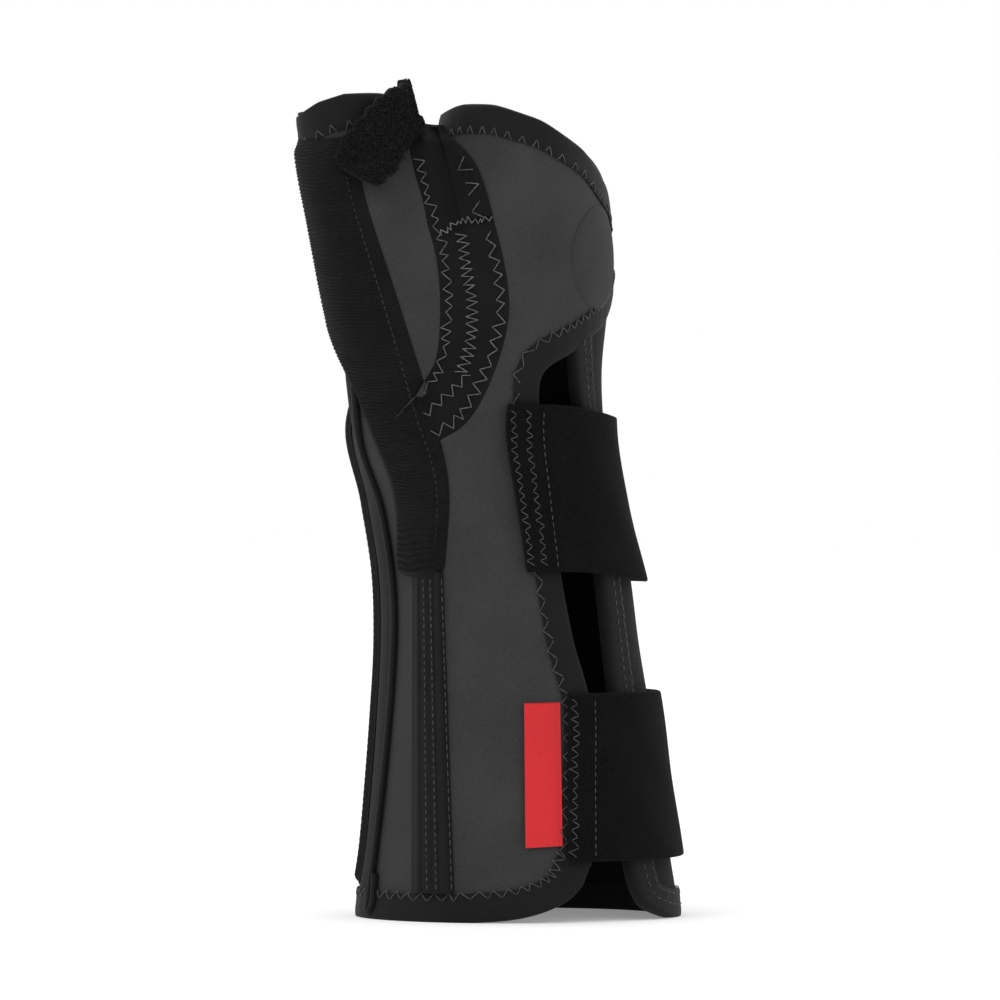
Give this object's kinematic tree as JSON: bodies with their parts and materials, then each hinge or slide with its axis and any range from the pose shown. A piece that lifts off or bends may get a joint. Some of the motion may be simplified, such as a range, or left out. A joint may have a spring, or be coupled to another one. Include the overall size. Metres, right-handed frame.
{
  "type": "wrist and thumb splint",
  "caption": "Slip-on right wrist and thumb splint: knit sleeve with stay pockets, a back slot closed by swinging hook-and-loop straps, and a thumb cuff with a peel-off closure tab.",
  "frame": {"origin": "Middle of the bounding box at the hem, which is the lowest plane of the sleeve.", "axes": "+Z from the hem to the fingers, -Y the thumb side, +X the back of the arm, -X the palm side."},
  "size_m": [0.117, 0.0948, 0.2491],
  "materials": {
    "grey_knit": "knit-faced foam laminate",
    "dark_stretch": "stretch knit",
    "binding_tape": "folded elastic binding",
    "ribbed_velour": "ribbed velour",
    "strap_velour": "brushed loop velour",
    "loop_pile": "rough loop pile",
    "hook_tape": "moulded hook tape",
    "stay_metal": "satin strip",
    "label_cloth": "folded woven label",
    "stitch_thread": "polyester thread"
  },
  "bodies": {
    "sleeve": {"main_panel": "grey_knit", "thumb_panel": "grey_knit", "web_insert": "dark_stretch", "web_leaf": "dark_stretch", "palmar_panel": "dark_stretch", "ulnar_panel": "dark_stretch", "hand_top_binding": "binding_tape", "thumb_cuff_binding": "binding_tape", "radial_edge_binding": "binding_tape", "ulnar_edge_binding": "binding_tape", "hem_binding": "binding_tape", "palmar_piping": "binding_tape", "palmar_stay": "stay_metal", "palmar_stay_pocket": "dark_stretch", "thumb_stay": "stay_metal", "thumb_stay_pocket": "ribbed_velour", "radial_stay": "stay_metal", "radial_stay_tape": "binding_tape", "wrist_strap_anchor": "strap_velour", "wrist_loop_pad": "loop_pile", "forearm_strap_anchor": "strap_velour", "forearm_loop_pad": "loop_pile", "thumb_closure_root": "loop_pile", "side_label": "label_cloth", "round_patch": "grey_knit"},
    "wrist_strap_body": {"wrist_strap": "strap_velour"},
    "wrist_tab_body": {"wrist_strap_tab": "strap_velour", "wrist_hook_patch": "hook_tape"},
    "forearm_strap_body": {"forearm_strap": "strap_velour"},
    "forearm_tab_body": {"forearm_strap_tab": "strap_velour", "forearm_hook_patch": "hook_tape"},
    "closure_body": {"thumb_closure": "loop_pile", "thumb_hook_patch": "hook_tape"}
  },
  "joints": [
    {"name": "wrist_strap_swing", "type": "hinge", "parent": "sleeve", "child": "wrist_strap_body", "pos_m": [0.02231, -0.03253, 0.10387], "axis": [0.082, -0.0354, -0.996], "range_deg": [0, 100]},
    {"name": "wrist_tab_peel", "type": "hinge", "parent": "wrist_strap_body", "child": "wrist_tab_body", "pos_m": [0.01659, 0.0398, 0.09988], "axis": [0.1636, 0.0235, -0.9862], "range_deg": [0, 60]},
    {"name": "forearm_strap_swing", "type": "hinge", "parent": "sleeve", "child": "forearm_strap_body", "pos_m": [0.03268, -0.03741, 0.01787], "axis": [0.0059, -0.11, -0.9939], "range_deg": [0, 100]},
    {"name": "forearm_tab_peel", "type": "hinge", "parent": "forearm_strap_body", "child": "forearm_tab_body", "pos_m": [0.02261, 0.04594, 0.01787], "axis": [0.0607, 0.0725, -0.9955], "range_deg": [0, 60]},
    {"name": "thumb_closure_peel", "type": "hinge", "parent": "sleeve", "child": "closure_body", "pos_m": [-0.0241, -0.02575, 0.23638], "axis": [-0.2567, -0.0507, 0.9652], "range_deg": [0, 45]}
  ]
}
